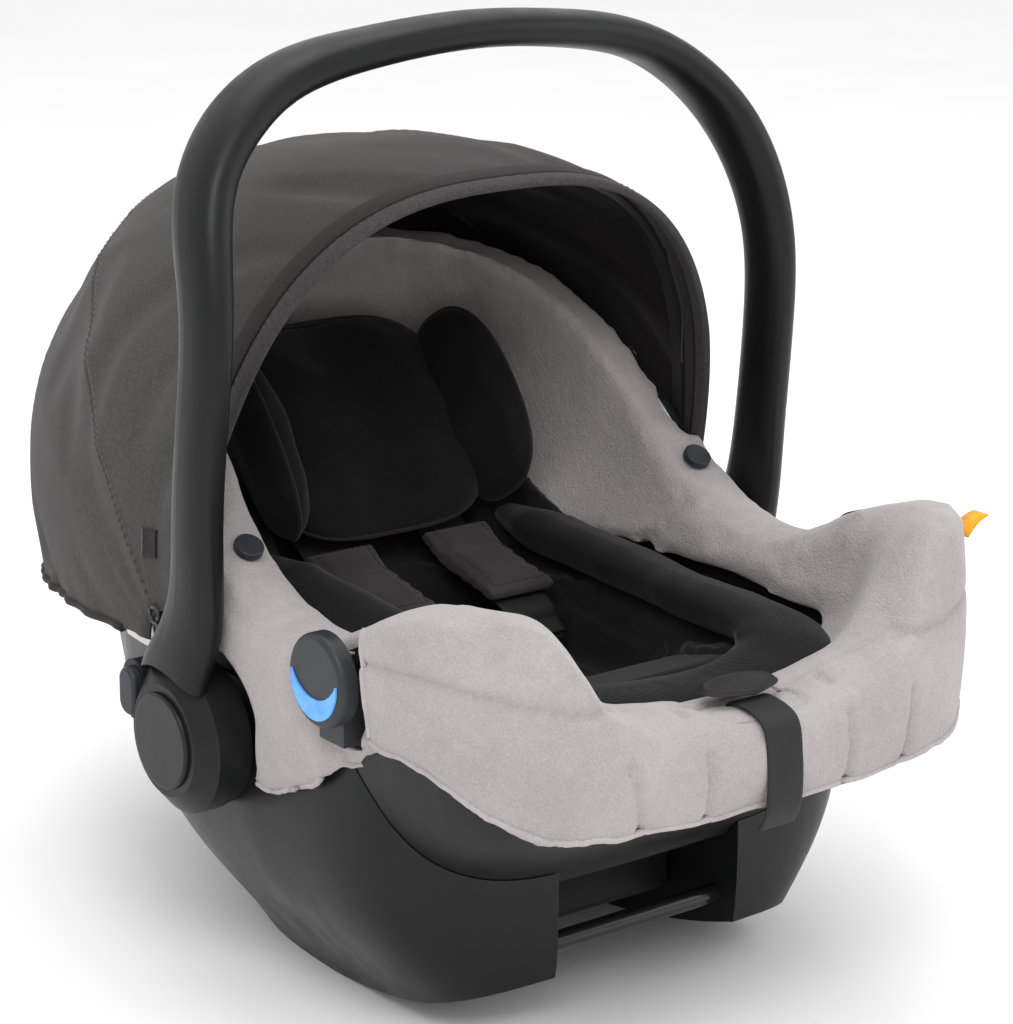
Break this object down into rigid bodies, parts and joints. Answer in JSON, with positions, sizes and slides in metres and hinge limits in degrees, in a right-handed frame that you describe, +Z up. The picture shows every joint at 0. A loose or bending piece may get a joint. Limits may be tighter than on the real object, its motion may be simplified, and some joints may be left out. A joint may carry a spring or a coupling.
{
  "type": "infant car seat",
  "caption": "Infant car seat with rocker base, swinging carry handle, folding canopy, padded fabric cover, harness and belt guides.",
  "frame": {"origin": "on the floor under the middle of the seat's bounding box", "axes": "+Z up, -Y towards the foot end, +Y towards the head end, +X across"},
  "size_m": [0.4524, 0.6467, 0.5681],
  "materials": {
    "shell_plastic": "moulded, fine grain",
    "base_plastic": "satin moulded",
    "handle_plastic": "satin moulded",
    "cap_plastic": "satin, blank",
    "button_plastic": "satin",
    "foam": "expanded foam",
    "steel": "plated",
    "bar_metal": "gloss black",
    "gear_plastic": "moulded",
    "cover_fabric": "brushed terry",
    "insert_fabric": "knit",
    "pad_fabric": "knit",
    "webbing": "woven",
    "flap_rubber": "matt",
    "buckle_plastic": "moulded",
    "red_button": "moulded",
    "grey_button": "moulded",
    "canopy_fabric": "melange weave",
    "canopy_trim": "binding",
    "bow_plastic": "moulded",
    "guide_plastic": "satin",
    "blue_marker": "moulded"
  },
  "bodies": {
    "seat": {"adjuster_flap": "flap_rubber", "adjuster_housing": "buckle_plastic", "adjuster_strap": "webbing", "base_side_left": "base_plastic", "base_side_right": "base_plastic", "belt_guide_left": "guide_plastic", "belt_guide_marker_left": "blue_marker", "belt_guide_marker_right": "blue_marker", "belt_guide_right": "guide_plastic", "body_insert": "insert_fabric", "buckle_body": "buckle_plastic", "buckle_tongue_left": "steel", "buckle_tongue_right": "steel", "canopy_mount_left": "shell_plastic", "canopy_mount_right": "shell_plastic", "crotch_strap": "webbing", "front_anchor_bar": "bar_metal", "harness_pad_left": "pad_fabric", "harness_pad_right": "pad_fabric", "head_pillow": "insert_fabric", "hub_mount_left": "shell_plastic", "hub_mount_right": "shell_plastic", "impact_foam": "foam", "keel_screws": "steel", "keel_tray": "base_plastic", "lock_spring_left": "steel", "lock_spring_right": "steel", "outer_shell": "shell_plastic", "pivot_pin_left": "steel", "pivot_pin_right": "steel", "rear_anchor_bar": "bar_metal", "rear_belt_guide": "shell_plastic", "release_guide": "shell_plastic", "rim_button_left": "button_plastic", "rim_button_right": "button_plastic", "seat_bucket": "shell_plastic", "seat_cover": "cover_fabric", "shoulder_strap_left": "webbing", "shoulder_strap_right": "webbing", "splitter_plate": "steel"},
    "handle": {"handle_arch": "handle_plastic", "handle_hub_left": "handle_plastic", "handle_hub_right": "handle_plastic", "hub_cap_left": "cap_plastic", "hub_cap_right": "cap_plastic"},
    "handle_button_left": {"handle_button_left": "button_plastic", "lock_gear_left": "gear_plastic"},
    "handle_button_right": {"handle_button_right": "button_plastic", "lock_gear_right": "gear_plastic"},
    "canopy_middle": {"canopy_bow_middle": "bow_plastic", "canopy_panel_rear": "canopy_fabric"},
    "canopy_front": {"canopy_bow_front": "bow_plastic", "canopy_panel_front": "canopy_fabric", "canopy_binding": "canopy_trim"},
    "buckle_button": {"buckle_button": "red_button"},
    "adjuster_button": {"adjuster_button": "grey_button"},
    "release_lever": {"release_lever": "button_plastic"},
    "latch_bar": {"latch_bar": "button_plastic"}
  },
  "joints": [
    {"name": "handle_swing", "type": "hinge", "parent": "seat", "child": "handle", "pos_m": [0, -0.028, 0.159], "axis": [-1, 0, 0], "range_deg": [0, 108]},
    {"name": "canopy_middle_fold", "type": "hinge", "parent": "seat", "child": "canopy_middle", "pos_m": [0, 0.012, 0.2], "axis": [-1, 0, 0], "range_deg": [0, 35], "deforming": ["canopy_panel_rear"]},
    {"name": "canopy_front_fold", "type": "hinge", "parent": "canopy_middle", "child": "canopy_front", "pos_m": [0, 0.012, 0.2], "axis": [-1, 0, 0], "range_deg": [0, 35], "deforming": ["canopy_panel_front"]},
    {"name": "handle_button_left_press", "type": "slide", "parent": "handle", "child": "handle_button_left", "axis": [1, 0, 0], "range_m": [0, 0.005], "stiffness_N_per_m": 600},
    {"name": "handle_button_right_press", "type": "slide", "parent": "handle", "child": "handle_button_right", "axis": [-1, 0, 0], "range_m": [0, 0.005], "stiffness_N_per_m": 600},
    {"name": "buckle_press", "type": "slide", "parent": "seat", "child": "buckle_button", "axis": [0, 0, -1], "range_m": [0, 0.004], "stiffness_N_per_m": 1500},
    {"name": "adjuster_press", "type": "slide", "parent": "seat", "child": "adjuster_button", "axis": [0, 0, -1], "range_m": [0, 0.003], "stiffness_N_per_m": 800},
    {"name": "release_pull", "type": "slide", "parent": "seat", "child": "release_lever", "axis": [0, 0, 1], "range_m": [0, 0.008], "stiffness_N_per_m": 700},
    {"name": "latch_slide", "type": "slide", "parent": "seat", "child": "latch_bar", "axis": [0, -1, 0], "range_m": [0, 0.006]}
  ],
  "couplings": [
    {"joint": "canopy_front_fold", "follows": "canopy_middle_fold", "ratio": 1},
    {"joint": "latch_slide", "follows": "release_pull", "ratio": 0.75}
  ]
}
